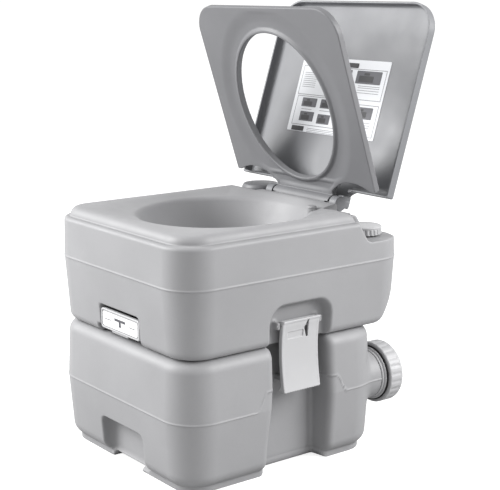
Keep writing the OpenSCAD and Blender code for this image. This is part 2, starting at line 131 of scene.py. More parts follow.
def mirrored(stops):
    """Grid lines on both sides of zero, from stops that start at zero."""
    half = spaced(stops)
    return np.concatenate([-half[:0:-1], half])


GRADIENT_STEP = 0.05
LEAST_SLOPE = 0.05  # of the squared gradient, where a field is nearly flat
SNAP_ROUNDS = 4
CELL_SLACK = 0.2  # how far a point may leave its cell, in cells


def gradient(field, p):
    h = GRADIENT_STEP
    g = np.empty_like(p)
    for i in range(3):
        d = np.zeros(3)
        d[i] = h
        g[:, i] = (field(*(p + d).T) - field(*(p - d).T)) / (2 * h)
    return g


def surface(field, xs, ys, zs):
    """The zero surface of a field as points, quads and normals: surface nets, then drawn onto the surface."""
    f = field(*np.meshgrid(xs, ys, zs, indexing="ij")).astype(np.float32)
    inside = f < 0
    count = np.zeros(tuple(n - 1 for n in f.shape), np.int8)
    corners = [(i, j, k) for i in (0, 1) for j in (0, 1) for k in (0, 1)]
    nx, ny, nz = count.shape
    for i, j, k in corners:
        count += inside[i:i + nx, j:j + ny, k:k + nz]
    cells = np.argwhere((count > 0) & (count < 8))
    index = np.full(count.shape, -1, np.int64)
    index[tuple(cells.T)] = np.arange(len(cells))
    total = np.zeros((len(cells), 3))
    hits = np.zeros(len(cells))
    lines = (xs, ys, zs)
    for a in corners:
        for axis in range(3):
            if a[axis]:
                continue
            b = tuple(a[n] + (n == axis) for n in range(3))
            fa = f[tuple((cells + a).T)].astype(float)
            fb = f[tuple((cells + b).T)].astype(float)
            cut = (fa < 0) != (fb < 0)
            t = np.where(cut, fa / np.where(cut, fa - fb, 1), 0)
            for n in range(3):
                pa, pb = lines[n][cells[:, n] + a[n]], lines[n][cells[:, n] + b[n]]
                total[:, n] += np.where(cut, pa + t * (pb - pa), 0)
            hits += cut
    p = total / hits[:, None]
    size = np.stack([np.diff(lines[n])[cells[:, n]] for n in range(3)], 1)
    low = np.stack([lines[n][cells[:, n]] for n in range(3)], 1) - CELL_SLACK * size
    high = low + (1 + 2 * CELL_SLACK) * size
    for _ in range(SNAP_ROUNDS):
        value, g = field(*p.T), gradient(field, p)
        p = np.clip(p - (value / np.maximum((g * g).sum(1), LEAST_SLOPE))[:, None] * g, low, high)
    quads = []
    for axis in range(3):
        u, v = (axis + 1) % 3, (axis + 2) % 3
        here = [slice(1, -1)] * 3
        there = [slice(1, -1)] * 3
        here[axis], there[axis] = slice(0, -1), slice(1, None)
        a, b = inside[tuple(here)], inside[tuple(there)]
        offset = np.array([1, 1, 1])
        offset[axis] = 0
        for mask, turn in ((a & ~b, 1), (~a & b, -1)):
            at = np.argwhere(mask) + offset
            ring = []
            for du, dv in ((-1, -1), (0, -1), (0, 0), (-1, 0)):
                c = at.copy()
                c[:, u] += du
                c[:, v] += dv
                ring.append(index[tuple(c.T)])
            quads.append(np.stack(ring[::turn], 1))
    quads = np.concatenate(quads)
    normals = gradient(field, p)
    normals /= np.maximum(np.linalg.norm(normals, axis=1), 1e-9)[:, None]
    return p, quads, normals


def make_object(name, points, faces, normals=None, smooth=True):
    """A mesh object from points in millimetres and faces of any size."""
    mesh = bpy.data.meshes.new(name)
    mesh.from_pydata((np.asarray(points) * MM).tolist(), [], [list(map(int, f)) for f in faces])
    mesh.validate()
    mesh.polygons.foreach_set("use_smooth", [smooth] * len(mesh.polygons))
    if normals is not None:
        mesh.normals_split_custom_set_from_vertices(normals.tolist())
    obj = bpy.data.objects.new(name, mesh)
    bpy.context.scene.collection.objects.link(obj)
    return obj


def turned(p, angle):
    """Turns points of a closed panel about the hinge axis, which is at the origin, to an open angle."""
    c, s = math.cos(math.radians(angle)), math.sin(math.radians(angle))
    return np.stack([p[:, 0], p[:, 1] * c + p[:, 2] * s, -p[:, 1] * s + p[:, 2] * c], 1)


def opened_object(name, field, grids, angle):
    """The mesh of a field that is drawn closed with the hinge axis at the origin, put in its open place."""
    p, quads, normals = surface(field, *grids)
    p = turned(p, angle) + (0, AXIS_Y, AXIS_Z)
    return make_object(name, p, quads, turned(normals, angle))


def field_object(name, field, grids):
    return make_object(name, *surface(field, *grids))


# ---------- materials ----------


# scales of the noise patterns, in cycles per metre
CLOUD_SCALE, FLECK_SCALE, SCUFF_SCALE, SHEEN_SCALE, GRAIN_SCALE = 9.0, 420.0, 60.0, 25.0, 1400.0
PATCH_SCALE, DULL_SCALE, BRUSH_SCALE = 140.0, 600.0, 900.0
PLASTIC_RELIEF, METAL_RELIEF = 0.0004, 0.0003  # depth of the bump, in metres


class Nodes:
    """A short way to write a material's nodes."""

    def __init__(self, name):
        self.material = bpy.data.materials.new(name)
        self.material.use_nodes = True
        self.tree = self.material.node_tree
        self.shader = self.tree.nodes["Principled BSDF"]

    def add(self, kind, **values):
        node = self.tree.nodes.new(kind)
        for key, value in values.items():
            if key in node.inputs:
                node.inputs[key].default_value = value
            else:
                setattr(node, key, value)
        return node

    def link(self, a, b):
        self.tree.links.new(a, b)

    def position(self):
        return self.add("ShaderNodeTexCoord").outputs["Object"]

    def noise(self, scale, detail=3.0, rough=0.5):
        node = self.add("ShaderNodeTexNoise", Scale=scale, Detail=detail, Roughness=rough)
        self.link(self.position(), node.inputs["Vector"])
        return node.outputs["Fac"]

    def spread(self, value, low, high, from_low=0.3, from_high=0.7):
        node = self.add("ShaderNodeMapRange")
        node.inputs["From Min"].default_value = from_low
        node.inputs["From Max"].default_value = from_high
        node.inputs["To Min"].default_value = low
        node.inputs["To Max"].default_value = high
        self.link(value, node.inputs["Value"])
        return node.outputs["Result"]

    def mix(self, factor, a, b):
        node = self.add("ShaderNodeMix", data_type="RGBA")
        for socket, value in ((node.inputs[6], a), (node.inputs[7], b)):
            if isinstance(value, tuple):
                socket.default_value = (*value, 1.0)
            else:
                self.link(value, socket)
        self.link(factor, node.inputs[0])
        return node.outputs[2]


def shade(color, factor):
    """A colour made lighter or darker."""
    return tuple(min(1.0, c * factor) for c in color)


def plastic(name, color, rough=0.42, grain=0.06, vary=0.05, specular=0.4, wear=0.06):
    """Moulded plastic: cloudy colour, fine grain, uneven sheen and paler worn edges."""
    n = Nodes(name)
    clouds = n.spread(n.noise(CLOUD_SCALE, 4.0), 0.0, 1.0)
    tone = n.mix(clouds, shade(color, 1 - vary), shade(color, 1 + vary))
    flecks = n.spread(n.noise(FLECK_SCALE, 2.0), 0.0, 0.35, 0.55, 0.75)
    tone = n.mix(flecks, tone, shade(color, 0.93))
    point = n.add("ShaderNodeNewGeometry").outputs["Pointiness"]
    edge = n.spread(point, 0.0, 1.0, 0.515, 0.56)
    scuffed = n.add("ShaderNodeMath", operation="MULTIPLY")
    n.link(edge, scuffed.inputs[0])
    n.link(n.spread(n.noise(SCUFF_SCALE, 4.0), 0.2, 1.0), scuffed.inputs[1])
    tone = n.mix(scuffed.outputs[0], tone, shade(color, 1 + wear))
    n.link(tone, n.shader.inputs["Base Color"])
    n.link(n.spread(n.noise(SHEEN_SCALE, 5.0), rough - 0.05, rough + 0.06), n.shader.inputs["Roughness"])
    n.shader.inputs["Specular IOR Level"].default_value = specular
    bump = n.add("ShaderNodeBump", Strength=grain, Distance=PLASTIC_RELIEF)
    n.link(n.noise(GRAIN_SCALE, 3.0, 0.6), bump.inputs["Height"])
    n.link(bump.outputs["Normal"], n.shader.inputs["Normal"])
    return n.material


def metal(name, color, rough=0.32):
    """Zinc-plated steel: brushed streaks and dull patches."""
    n = Nodes(name)
    patches = n.spread(n.noise(PATCH_SCALE, 4.0), 0.0, 1.0)
    n.link(n.mix(patches, shade(color, 0.82), shade(color, 1.08)), n.shader.inputs["Base Color"])
    n.shader.inputs["Metallic"].default_value = 1.0
    n.link(n.spread(n.noise(DULL_SCALE, 3.0), rough - 0.08, rough + 0.12), n.shader.inputs["Roughness"])
    bump = n.add("ShaderNodeBump", Strength=0.12, Distance=METAL_RELIEF)
    n.link(n.noise(BRUSH_SCALE, 2.0), bump.inputs["Height"])
    n.link(bump.outputs["Normal"], n.shader.inputs["Normal"])
    return n.material


M = {
    "tank": plastic("tank_plastic", (0.262, 0.262, 0.269), rough=0.50, wear=0.03),
    "cover": plastic("cover_plastic", (0.148, 0.149, 0.156), rough=0.47),
    "lid": plastic("lid_plastic", (0.160, 0.163, 0.172), rough=0.44),
    "latch": plastic("latch_plastic", (0.42, 0.42, 0.428), rough=0.36),
    "cap": plastic("cap_plastic", (0.38, 0.38, 0.388), rough=0.44),
    "dark": plastic("dark_plastic", (0.025, 0.025, 0.028), rough=0.5),
    "white": plastic("white_plastic", (0.62, 0.62, 0.61), rough=0.3, grain=0.03),
    "label": plastic("label_plastic", (0.80, 0.80, 0.80), rough=0.35, grain=0.03, vary=0.02, wear=0.0),
    "rubber": plastic("black_rubber", (0.012, 0.012, 0.013), rough=0.62, grain=0.15, specular=0.25, wear=0.4),
    "red": plastic("red_plastic", (0.42, 0.045, 0.035), rough=0.35),
    "steel": metal("zinc_steel", (0.55, 0.55, 0.56)),
    "paper": plastic("label_sheet", (0.60, 0.61, 0.63), rough=0.5, grain=0.03, vary=0.02, wear=0.0),
    "ink": plastic("label_ink", (0.02, 0.02, 0.022), rough=0.55, grain=0.02, wear=0.0),
    "print": plastic("label_print", (0.07, 0.07, 0.08), rough=0.5, grain=0.02, wear=0.0),
    "frame_print": plastic("label_frame_print", (0.12, 0.125, 0.135), rough=0.5, grain=0.02, wear=0.0),
}


def finish_piece(obj, kind, body, *nodes):
    """Gives a piece its material and body, and hides the CAD nodes that it stands for."""
    obj.data.materials.clear()
    obj.data.materials.append(M[kind])
    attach(obj, body)
    if nodes:
        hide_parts(*nodes)
    return obj


# ---------- flush tank ----------

CORNER_R = 55.0  # of both tanks, seen from above
FRONT_X = 7.0  # middle of the handle, its notch and the grip
LOWER_WALL_Z, LOWER_LEAN = 214.0, 5.5  # the wall leans in by so much between the ridge and this height
WALL_TOP, UPPER_LEAN = 358.5, 1.5
RIDGE_HEIGHT, RIDGE_WIDTH = 0.8, 1.4
DECK_RIM, DECK_INSET = 373.0, 11.0
DECK_REAR = 139.0
DECK_FALL = 9.0  # from the rim of the deck to the mouth of the bowl
BOWL_HALF, BOWL_REAR, BOWL_FRONT, BOWL_Y = 127.0, 127.0, 139.0, -4.0
BOWL_MEAN = 132.0
BOWL_TOP, BOWL_FLOOR, BOWL_SLOPE = 363.0, 214.0, 0.52
OUTLET_R = 45.0
SHELF_Z = 327.0
BLOCK_HALF, BLOCK_Z, BLOCK_REAR = 92.0, 350.0, 181.0
UNDERCUT_Y, UNDERCUT_Z = 158.0, 197.0
RECESS_X = 161.0  # depth of the flush tank's latch recesses, from the middle
CHANNEL_X = 142.0  # depth of the waste tank's latch channels, from the middle
RECESS_R = 30.0
WELL_R, WELL_TOP = 80.0, 216.0  # room for the valve under the bowl
TUNNEL_HALF, TUNNEL_TOP = 57.0, 209.0  # room for the blade in front of it
FAR = 300.0  # beyond the end of any cut


def plan(x, y, rear):
    """Distance to the outline of a tank seen from above."""
    return rounded_rect(x, y, 0, (FRONT_Y + rear) / 2, HALF_W, (rear - FRONT_Y) / 2, CORNER_R)


def side_recess(x, y, z, front, rear, top, depth_x, slope):
    """A latch recess in both sides, open below, with sloping walls and round shoulders."""
    arch = rounded_rect(y, z, (rear - front) / 2, top - FAR, (rear + front) / 2, FAR, RECESS_R)
    return smax(arch + (HALF_W - np.abs(x)) * slope, depth_x - np.abs(x), 5)


def front_recess(x, y, z, half, low, high, back, r, soft):
    """A recess in the front, which narrows towards its back."""
    opening = rounded_rect(x, z, FRONT_X, (low + high) / 2, half, (high - low) / 2, r)
    return smax(opening + (y - FRONT_Y) * 0.12, y - back, soft)


def corner_shelves(x, y, z):
    """The room over the left shelf, with the pump, and the right one, with the fill cap."""
    left = x < 0
    corner = 8 + 7 * step(-x, -155, -122)
    slant, start = np.where(left, 0.10, 0.655), np.where(left, 130, 120 + corner)
    shelf = smax(SHELF_Z - z, (start - y - (z - SHELF_Z) * slant) / np.hypot(1, slant), 7)
    slant, start = np.where(left, 0.05, 0.47), np.where(left, 127, 101 + corner)
    shelf = smax(shelf, (start - y - (z - 357) * slant) / np.hypot(1, slant), 3)
    return smax(shelf, BLOCK_HALF - np.abs(x) + (z - SHELF_Z) * 0.06, 6)


def upper_field(x, y, z):
    """The flush tank with its deck and bowl, and the lugs of the latch pins."""
    below = np.clip((RIDGE_Z - z) / (RIDGE_Z - LOWER_WALL_Z), 0, 1.3)
    above = np.clip((z - RIDGE_Z) / (WALL_TOP - RIDGE_Z), 0, 1.5)
    outline = plan(x, y, REAR_Y)
    wall = outline + LOWER_LEAN * below + UPPER_LEAN * above - bead(z - RIDGE_Z, RIDGE_HEIGHT, RIDGE_WIDTH)
    main = rmax(wall, z - WALL_TOP, 6)
    main = rmax(main, SEAM_Z - z, 13)
    deck = rmax(outline + DECK_INSET, z - DECK_RIM, 14)
    deck = np.maximum(deck, SHELF_Z + 3 - z)
    body = smin(main, deck, 2.5)
    # the deck falls from its rim to the mouth of the bowl
    ring = np.hypot(x / BOWL_HALF, (y - BOWL_Y) / np.where(y > BOWL_Y, BOWL_REAR, BOWL_FRONT))
    from_rim = np.maximum(np.minimum(-outline - DECK_INSET - 1.4, DECK_REAR - y), 0)
    to_bowl = np.maximum((ring - 1) * BOWL_MEAN, 0)
    fall = DECK_FALL * step(from_rim / (from_rim + to_bowl + 0.01), 0.08, 1.15)
    body = smax(body, z - DECK_RIM + fall, 3)
    bowl = ((ring - 1) * BOWL_MEAN + (BOWL_TOP - z) * BOWL_SLOPE) / 1.12
    body = smax(body, -np.maximum(bowl, BOWL_FLOOR - z), 6)
    body = np.maximum(body, OUTLET_R - np.hypot(x, y))
    # the shelves and the hinge block between them, which falls to the rear
    body = smax(body, -corner_shelves(x, y, z), 2.5)
    block = smax(BLOCK_Z - z, DECK_REAR - y, 4)
    body = smax(body, -block, 1.5)
    slope = smax(SHELF_Z - z, (BLOCK_Z - z) * 0.57 + (BLOCK_REAR - y) * 0.82, 6)
    body = smax(body, -slope, 5)
    under = (y - UNDERCUT_Y) * 0.79 - (z - UNDERCUT_Z) * 0.61
    body = smax(body, under, 6)
    # recesses for the latches, the handle and the valve
    body = smax(body, -side_recess(x, y, z, 60, 60, 258, RECESS_X, 0.42), 3)
    body = smax(body, -front_recess(x, y, z, 55, 100, 242, -125, 6, 3), 2)
    well = smax(np.hypot(x, y) - WELL_R, z - WELL_TOP, 3)
    tunnel = smax(smax(np.abs(x) - TUNNEL_HALF, z - TUNNEL_TOP, 3), y, 2)
    body = smax(body, -smin(well, tunnel, 3), 3)
    lugs = box_field(np.abs(x), np.abs(y), z, (RECESS_X - 4, 35.5, 218.5), (174.5, 41.8, 229.5), 2.5)
    return smin(body, lugs, 6)


def make_upper_tank():
    xs = mirrored([(0, 4.5), (84, 2.2), (100, 4), (124, 2.5), (146, 2.5), (158, 2.0), (188, None)])
    ys = spaced([(-214, 2.0), (-160, 3.2), (-120, 3.6), (-62, 2), (-34, 4), (34, 2), (62, 3.6), (90, 2.2),
                 (126, 2), (145, 4), (176, 2.4), (212, None)])
    zs = spaced([(192, 2.2), (232, 2.4), (262, 3.6), (292, 1.0), (302, 3.6), (322, 2.0), (334, 3.2),
                 (348, 1.4), (377, None)])
    tank = field_object("upper_tank_shell", upper_field, (xs, ys, zs))
    finish_piece(tank, "tank", "tanks", "upper_tank", "deck", "bowl")


# ---------- waste tank ----------

WASTE_REAR = 160.0
WASTE_RIDGE = 106.0
WASTE_FOOT_Z, WASTE_LOWER_LEAN, WASTE_UPPER_LEAN = 25.0, 6.0, 3.0
BODY_LOW = 7.0
JOG_RISE = 27.0  # the side ridge stands higher next to a latch channel
JOG_START, JOG_WIDTH = 65.0, 20.0
PLINTH_INSET, PLINTH_TOP = 17.0, 20.0
FOOT_START = 150.0  # the plinth is open between its feet
BOSS_R, BOSS_FRONT, BOSS_REAR = 38.0, 100.0, 164.0
LEDGE_X, LEDGE_HALF, LEDGE_LOW, LEDGE_HIGH = 170.2, 22.0, 135.0, 143.0  # the latch hooks under it


def waste_field(x, y, z):
    """The waste tank with its plinth, spout boss, latch channels and ledges, and front grip."""
    outline = plan(x, y, WASTE_REAR)
    below = np.clip((WASTE_RIDGE - z) / (WASTE_RIDGE - WASTE_FOOT_Z), 0, 1.3)
    above = np.clip((z - WASTE_RIDGE) / 60, 0, 2)
    side, y_abs = np.abs(x), np.abs(y)
    jog = np.clip((y_abs - JOG_START) / JOG_WIDTH, 0, 1)
    drop = JOG_RISE * (0.5 + 0.5 * np.cos(math.pi * jog))
    on_jog = (y_abs > JOG_START) & (y_abs < JOG_START + JOG_WIDTH)
    lifted = (z - WASTE_RIDGE - drop) / np.hypot(1, JOG_RISE * 0.06 * on_jog)
    line = np.where(side > 120, lifted, z - WASTE_RIDGE)
    wall = outline + WASTE_LOWER_LEAN * below + WASTE_UPPER_LEAN * above
    body = rmax(wall, z - (SEAM_Z - 0.6), 17)
    body = rmax(body, BODY_LOW - z, 20)
    plinth = smax(outline + PLINTH_INSET, z - PLINTH_TOP, 1)
    gap = smax(side - 40, z - BODY_LOW, 2)
    gap = smax(gap, FOOT_START - np.maximum(-y, y + 49), 2)
    plinth = smax(plinth, -gap, 2)
    plinth = np.maximum(plinth, -z)
    body = smin(body, plinth, 2)
    boss = smax(np.hypot(x - SPOUT_X, z - SPOUT_Z) - BOSS_R, np.maximum(y - BOSS_REAR, BOSS_FRONT - y), 2)
    body = smin(body, boss, 6)
    channel = side_recess(x, y, z, 61 - 9 * step(z, 30, 150), 55, 400, CHANNEL_X, 0.15)
    body = smax(body, -channel, 11)
    body = smax(body, -front_recess(x, y, z, 58, 2, 66, -184, 12, 12), 3)
    body = body - bead(line, RIDGE_HEIGHT, RIDGE_WIDTH) * (body < 6)
    opening = np.hypot(x, y) - OUTLET_R
    body = smax(body, -np.maximum(opening, 150 - z), 3)
    low, high = (CHANNEL_X - 4, -LEDGE_HALF, LEDGE_LOW), (LEDGE_X, LEDGE_HALF, LEDGE_HIGH)
    return smin(body, box_field(side, y, z, low, high, 1.5), 2)


def make_waste_tank():
    xs = mirrored([(0, 4.5), (36, 2.2), (46, 3), (52, 2.2), (64, 4.5), (130, 2.8), (158, 2.0), (188, None)])
    ys = spaced([(-214, 2.0), (-160, 3.2), (-110, 4), (-76, 1.8), (-48, 4), (-24, 2), (-18, 4), (18, 2),
                 (24, 4), (48, 1.8), (76, 3.4), (120, 2.2), (168, None)])
    zs = spaced([(-2, 1.8), (30, 3.2), (58, 2.4), (72, 3.4), (101, 1.0), (111, 3.2), (134, 1.2), (152, 3.4),
                 (172, 2.0), (198, None)])
    tank = field_object("waste_tank_shell", waste_field, (xs, ys, zs))
    finish_piece(tank, "tank", "tanks", "waste_tank", "waste_base")


# ---------- seat and lid, drawn closed with the hinge axis at the origin ----------

SEAT_HALF, SEAT_REACH, SEAT_REAR = 172.0, 315.0, 27.5
SEAT_LOW, SEAT_HIGH = 3.5, 14.5
SEAT_TONGUE = 69.0
SEAT_GROOVE = 3.4  # depth of the hollow ring under the seat
LID_HALF, LID_REACH, LID_REAR = 180.0, 325.0, 22.5
LID_LOW, LID_FACE, LID_HIGH = 4.0, 17.0, 20.5
LID_CROWN = 1.8
LID_WALL = 3.5
LID_TONGUE = 87.0
PANEL_FAR = 200.0
TONGUE_END = 9.5
HOLE_HALF, HOLE_LONG, HOLE_Y, HOLE_MEAN = 110.0, 120.5, -153.0, 113.0
KNUCKLE_R = 8.5
PIN_BORE = 3.1
CURL_R, CURL_HALF = 10.35, 1.15  # mean radius and half thickness of a curl
CHEEK_R, CHEEK_X, CHEEK_HALF = 11.5, 86.6, 1.4  # the lid's end plates over the pins


def panel(x, y, half, reach, rear, front_r):
    """Outline of a closed panel with round front corners."""
    sides = rounded_rect(x, y, 0, -(reach + rear) / 2, half, (reach - rear) / 2, 2.5)
    return smax(sides, rounded_rect(x, y, 0, PANEL_FAR - reach, half, PANEL_FAR, front_r), 1)


def tongue(x, y, half, flare, start, end):
    """Outline of the rear tongue of a panel, which widens towards the panel."""
    width = half + flare * step(-y, start, end) ** 1.4
    return np.maximum(np.abs(x) - width, np.maximum(y + TONGUE_END, -end - 8 - y))


def curl(x, y, z, x0, x1, end):
    """The end of a tongue, which curls down around the hinge to an angle of end degrees."""
    radius = np.hypot(y, z)
    angle = np.degrees(np.arctan2(-z, -y))
    along = (np.abs(angle - (end - 30) / 2) - (end + 30) / 2) * math.radians(1) * CURL_R
    band = np.abs(radius - CURL_R) - CURL_HALF
    return rmax(rmax(band, along, 0.8), np.abs(np.abs(x) - (x0 + x1) / 2) - (x1 - x0) / 2, 0.8)


def knuckle(x, y, z, start, width, low, high, rear):
    """The hinge barrels on both sides, with the webs that join them to the panel."""
    side = np.abs(x)
    barrel = rmax(np.hypot(y, z) - KNUCKLE_R, np.abs(side - start - width / 2) - width / 2, 1.2)
    web = box_field(side, y, z, (start, -14, low), (start + width, rear, high), 1.5)
    neck = box_field(side, y, z, (start, -6, -2), (start + width, 5, high - 1), 1.5)
    return smin(barrel, smin(web, neck, 2), 2)


def seat_field(x, y, z):
    outline = panel(x, y, SEAT_HALF, SEAT_REACH, SEAT_REAR, 45)
    outline = smax(outline, 75 - np.hypot(np.abs(x) - 122, y - 37), 3)  # the rear corners are scooped out
    outline = smin(outline, tongue(x, y, SEAT_TONGUE, 16, 12, 32), 5)
    hole = (np.hypot(x / HOLE_HALF, (y - HOLE_Y) / HOLE_LONG) - 1) * HOLE_MEAN
    shape = rmax(outline, z - SEAT_HIGH, 3)
    groove = SEAT_GROOVE * step(hole, 3, 9) * (1 - step(hole, 14, 42)) * step(-outline, 3, 12)
    shape = rmax(shape, SEAT_LOW + groove - z, 1.4)
    shape = rmax(shape, -hole, 1.6)
    curls = np.minimum(curl(x, y, z, -62, 62, 110), curl(x, y, z, -SEAT_TONGUE, SEAT_TONGUE, 58))
    shape = smin(shape, curls, 2)
    shape = smin(shape, knuckle(x, y, z, 44, 18, SEAT_LOW, SEAT_HIGH, 4), 1.5)
    return np.maximum(shape, PIN_BORE - np.hypot(y, z))


def make_seat():
    xs = mirrored([(0, 4), (42, 1.5), (84, 3), (100, 2.6), (114, 3.2), (160, 1.8), (176, None)])
    ys = spaced([(-318, 1.8), (-300, 3), (-276, 2.2), (-262, 3.6), (-48, 1.5), (13, None)])
    zs = spaced([(-13, 1.4), (1, 1.0), (17, None)])
    seat = opened_object("seat_ring_panel", seat_field, (xs, ys, zs), SEAT_OPEN)
    finish_piece(seat, "cover", "seat_ring", "seat")


def lid_field(x, y, z):
    outline = panel(x, y, LID_HALF, LID_REACH, LID_REAR, 48)
    outline = smin(outline, tongue(x, y, LID_TONGUE, 14, 12, 26), 5)
    crown = LID_CROWN * (1 - np.clip((x / 170) ** 2, 0, 1)) * (1 - np.clip(((y + 170) / 150) ** 2, 0, 1))
    shape = rmax(outline, z - LID_HIGH - crown, 6)
    shape = np.maximum(shape, LID_LOW - z)
    inside = panel(x, y, LID_HALF - LID_WALL, LID_REACH - LID_WALL, LID_REAR + LID_WALL, 44.5)
    inside = np.minimum(inside, np.maximum(np.abs(x) - LID_TONGUE - 4, -60 - y))
    shape = smax(shape, -smax(inside, z - LID_FACE, 5), 1.2)
    shape = smin(shape, curl(x, y, z, 72, LID_TONGUE, 135), 2)
    shape = smin(shape, knuckle(x, y, z, 72, 14, LID_LOW, LID_HIGH, 2), 1.5)
    cheek = rmax(np.hypot(y, z) - CHEEK_R, np.abs(np.abs(x) - CHEEK_X) - CHEEK_HALF, 0.8)
    shape = smin(shape, cheek, 1)
    # the bore ends inside the cheeks
    return np.maximum(shape, np.minimum(PIN_BORE - np.hypot(y, z), 85.4 - np.abs(x)))


def make_lid():
    xs = mirrored([(0, 5), (68, 1.1), (91, 3), (160, 1.7), (184, None)])
    ys = spaced([(-328, 1.7), (-302, 4), (-48, 1.6), (12, None)])
    zs = spaced([(-13, 1.4), (2, 1.2), (25, None)])
    lid = opened_object("lid_panel_shell", lid_field, (xs, ys, zs), LID_OPEN)
    finish_piece(lid, "lid", "lid_panel", "lid")


# ---------- flat prints and plates ----------


def plate(u0, v0, u1, v1, r, t0, t1):
    """A thin plate with round corners, as points (u, v, t) and faces."""
    r = min(r, (u1 - u0) / 2.01, (v1 - v0) / 2.01)
    ring = []
    corners = ((u1 - r, v1 - r, 0), (u0 + r, v1 - r, 90), (u0 + r, v0 + r, 180), (u1 - r, v0 + r, 270))
    for cu, cv, start in corners:
        for a in np.linspace(start, start + 90, 5):
            ring.append((cu + r * math.cos(math.radians(a)), cv + r * math.sin(math.radians(a))))
    n = len(ring)
    points = [(u, v, t) for t in (t0, t1) for u, v in ring]
    faces = [list(range(n))[::-1], list(range(n, 2 * n))]
    faces += [[i, (i + 1) % n, n + (i + 1) % n, n + i] for i in range(n)]
    return points, faces


def plates(name, rects, r, t0, t1, kind, body, place, *nodes):
    """Several plates as one piece. place turns their (u, v, t) points into points of the frame."""
    points, faces = [], []
    for rect in rects:
        p, f = plate(*rect, r, t0, t1)
        faces += [[i + len(points) for i in face] for face in f]
        points += p
    obj = make_object(name, place(np.array(points, float)), faces, smooth=False)
    return finish_piece(obj, kind, body, *nodes)


def on_lid(p):
    """Points (x, reach from the hinge, height over the hinge axis) of the closed lid, in the raised lid's place."""
    closed = np.stack([p[:, 0], -p[:, 1], p[:, 2]], 1)
    return turned(closed, LID_OPEN) + (0, AXIS_Y, AXIS_Z)


def outline_rects(u0, v0, u1, v1, w):
    """The four bars of a frame of width w."""
    across = [(u0, v0, u1, v0 + w), (u0, v1 - w, u1, v1)]
    return across + [(u0, v0 + w, u0 + w, v1 - w), (u1 - w, v0 + w, u1, v1 - w)]


# rectangles are (left, near, right, far) on the lid's inner face, from its middle and from the hinge axis
SHEET = (-106.0, 106.0, 106.0, 232.0)
SHEET_BACK, SHEET_FRONT = 16.98, 16.45  # heights over the hinge axis, as are the next three
LINES_FRONT, PICTURES_FRONT, SHAPES_FRONT = 16.3, 16.28, 16.18
FRAME_WIDTH, LINE_WIDTH = 0.9, 0.8
PICTURES = [
    (33, 194, 91, 215), (-20, 196, 21, 215), (-84, 148, -47, 163), (-37, 148, -6, 163), (-82, 124, -47, 140),
    (-37, 122, -6, 138), (46, 138, 90, 157), (3, 146, 28, 160),
]


def make_sheet():
    """The instruction sheet: blank tabs, framed rows, plain pictures and lines, with no lettering."""
    plates("instruction_sheet_paper", [SHEET], 2, SHEET_FRONT, SHEET_BACK, "paper", "lid_panel", on_lid,
           "instruction_sheet")
    frames = outline_rects(-100, 168, 101, 217.5, FRAME_WIDTH) + outline_rects(-98, 117, 35, 166, FRAME_WIDTH)
    frames += outline_rects(40, 110, 101, 161, FRAME_WIDTH)
    lines = [(-94, v, -62, v + LINE_WIDTH) for v in np.arange(181, 208, 3.4)]
    lines += [(42, v, 92, v + LINE_WIDTH) for v in (179, 183, 187, 190)]
    lines += [(-56, v, 34, v + LINE_WIDTH) for v in (106.8, 109.4, 112)]
    lines += [(u, 143.4, u + 26, 144.2) for u in (-82, -36)]
    lines += [(52, v, 90, v + LINE_WIDTH) for v in (124, 128, 132)]
    back = SHEET_FRONT + 0.01
    plates("instruction_sheet_lines", frames + lines, 0.1, LINES_FRONT, back, "frame_print", "lid_panel",
           on_lid)
    plates("instruction_sheet_pictures", PICTURES, 1.2, PICTURES_FRONT, back, "print", "lid_panel", on_lid)
    shapes = []  # a wide and a narrow block in each picture
    for a, b, c, d in PICTURES:
        w, h = c - a, d - b
        shapes.append((a + 0.12 * w, b + 0.14 * h, a + 0.7 * w, b + 0.62 * h))
        shapes.append((a + 0.3 * w, b + 0.66 * h, a + 0.52 * w, b + 0.84 * h))
    tabs = [(-32, 218.6, 33, 226.5), (-95, 106.8, -64, 114.8), (29, 176, 38, 182.6)]
    plates("instruction_sheet_shapes", shapes + tabs, 1.0, SHAPES_FRONT, LINES_FRONT, "ink", "lid_panel",
           on_lid)


# ---------- handle ----------

HANDLE_HALF, HANDLE_LOW, HANDLE_HIGH = 53.0, 205.0, 235.6
HANDLE_Y, HANDLE_THICK = -200.5, 6.0
POCKET_HALF, POCKET_Z, POCKET_RISE, POCKET_Y = 49.8, 220.4, 12.6, -201.5  # the label lies in it
LABEL = (-48, 209.6, 48, 231.2)
LABEL_FRONT, LABEL_BACK = -203.2, -202.3
MARKS = [(-42, 219.8, -25, 221.0), (25, 219.8, 42, 221.0), (-15, 222.2, 15, 226.2), (-3, 214.6, 3, 222.2)]


def handle_field(x, y, z):
    """The plate of the pull handle with the pocket of its label, and the foot that joins it to the blade."""
    mid_z, half_z = (HANDLE_LOW + HANDLE_HIGH) / 2, (HANDLE_HIGH - HANDLE_LOW) / 2
    face = rounded_rect(x, z, FRONT_X, mid_z, HANDLE_HALF, half_z, 5)
    shape = rmax(face, np.abs(y - HANDLE_Y) - HANDLE_THICK / 2, 1.4)
    pocket = rounded_rect(x, z, FRONT_X, POCKET_Z, POCKET_HALF, POCKET_RISE, 4)
    shape = smax(shape, -np.maximum(pocket, y - POCKET_Y), 0.6)
    return smin(shape, box_field(x, y, z, (-22, -199.5, 200.4), (22, -184.4, 211.6), 1.5), 1.5)


